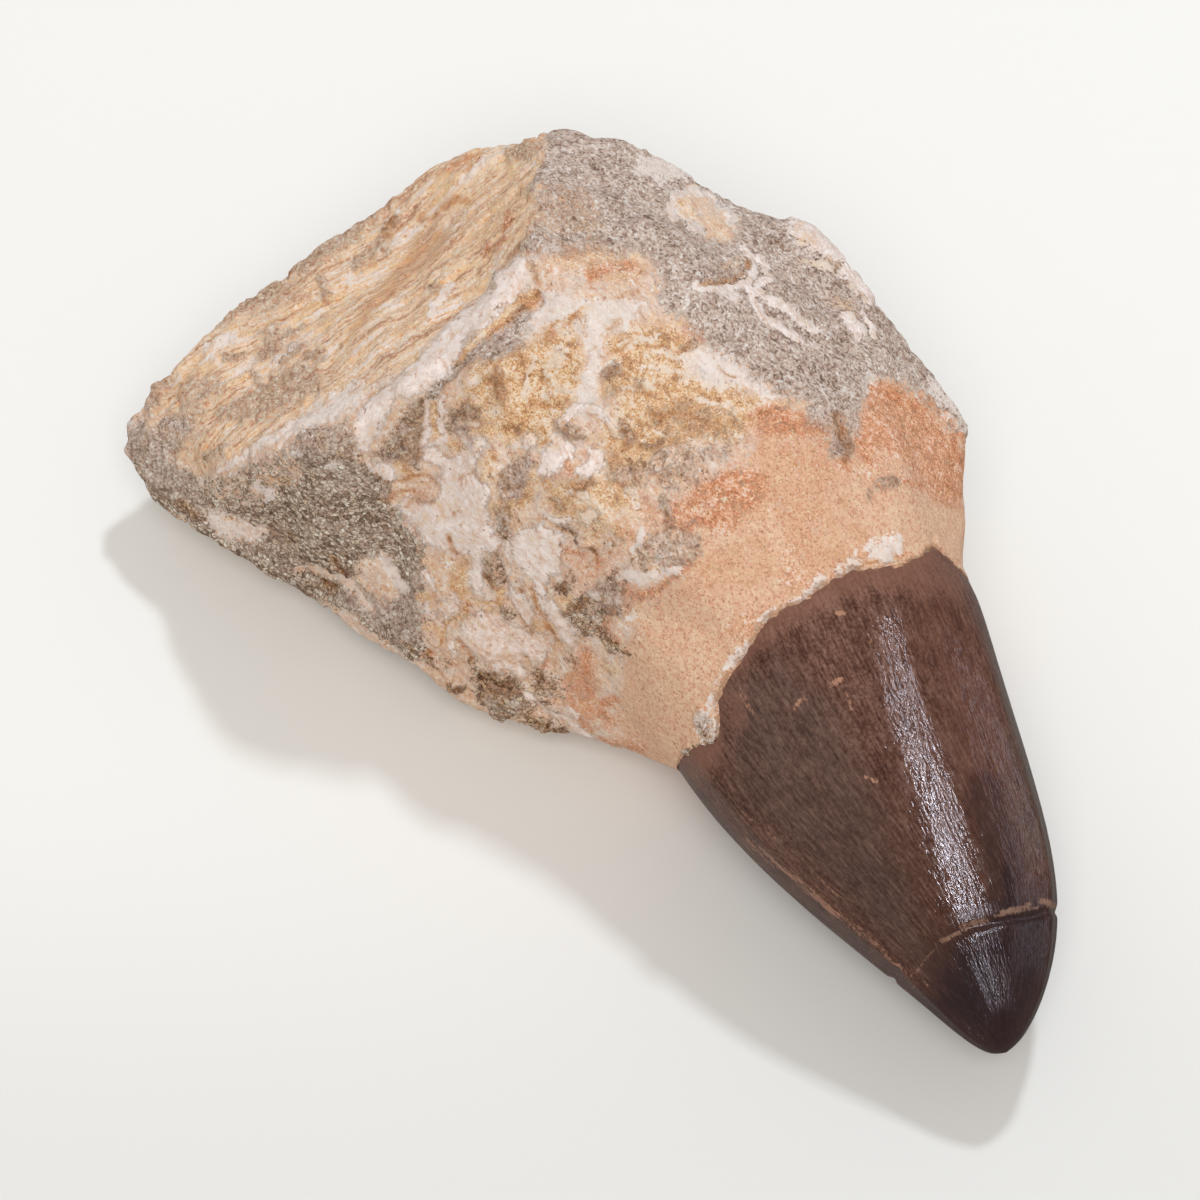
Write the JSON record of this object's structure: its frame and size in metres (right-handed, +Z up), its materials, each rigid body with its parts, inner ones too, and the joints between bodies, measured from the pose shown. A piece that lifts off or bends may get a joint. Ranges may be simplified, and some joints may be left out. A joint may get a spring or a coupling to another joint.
{
  "type": "fossil mosasaur tooth",
  "caption": "Fossil marine reptile tooth: dark glossy cone-shaped enamel crown on a broken, worn root with hard sand still on it, resting on a small flat spot.",
  "frame": {"origin": "middle of the small flat spot under the root that the tooth rests on", "axes": "+Z up from the surface it rests on, +X along the tooth toward the tip of the crown"},
  "size_m": [0.1183, 0.0702, 0.0507],
  "materials": {
    "enamel": "glossy dark brown enamel with fine lengthwise wrinkles",
    "bone_and_sand": "rough mineralised bone, ochre and cream, with grey sandy matrix"
  },
  "bodies": {
    "root": {"crown": "enamel", "tooth_root": "bone_and_sand"}
  },
  "joints": []
}
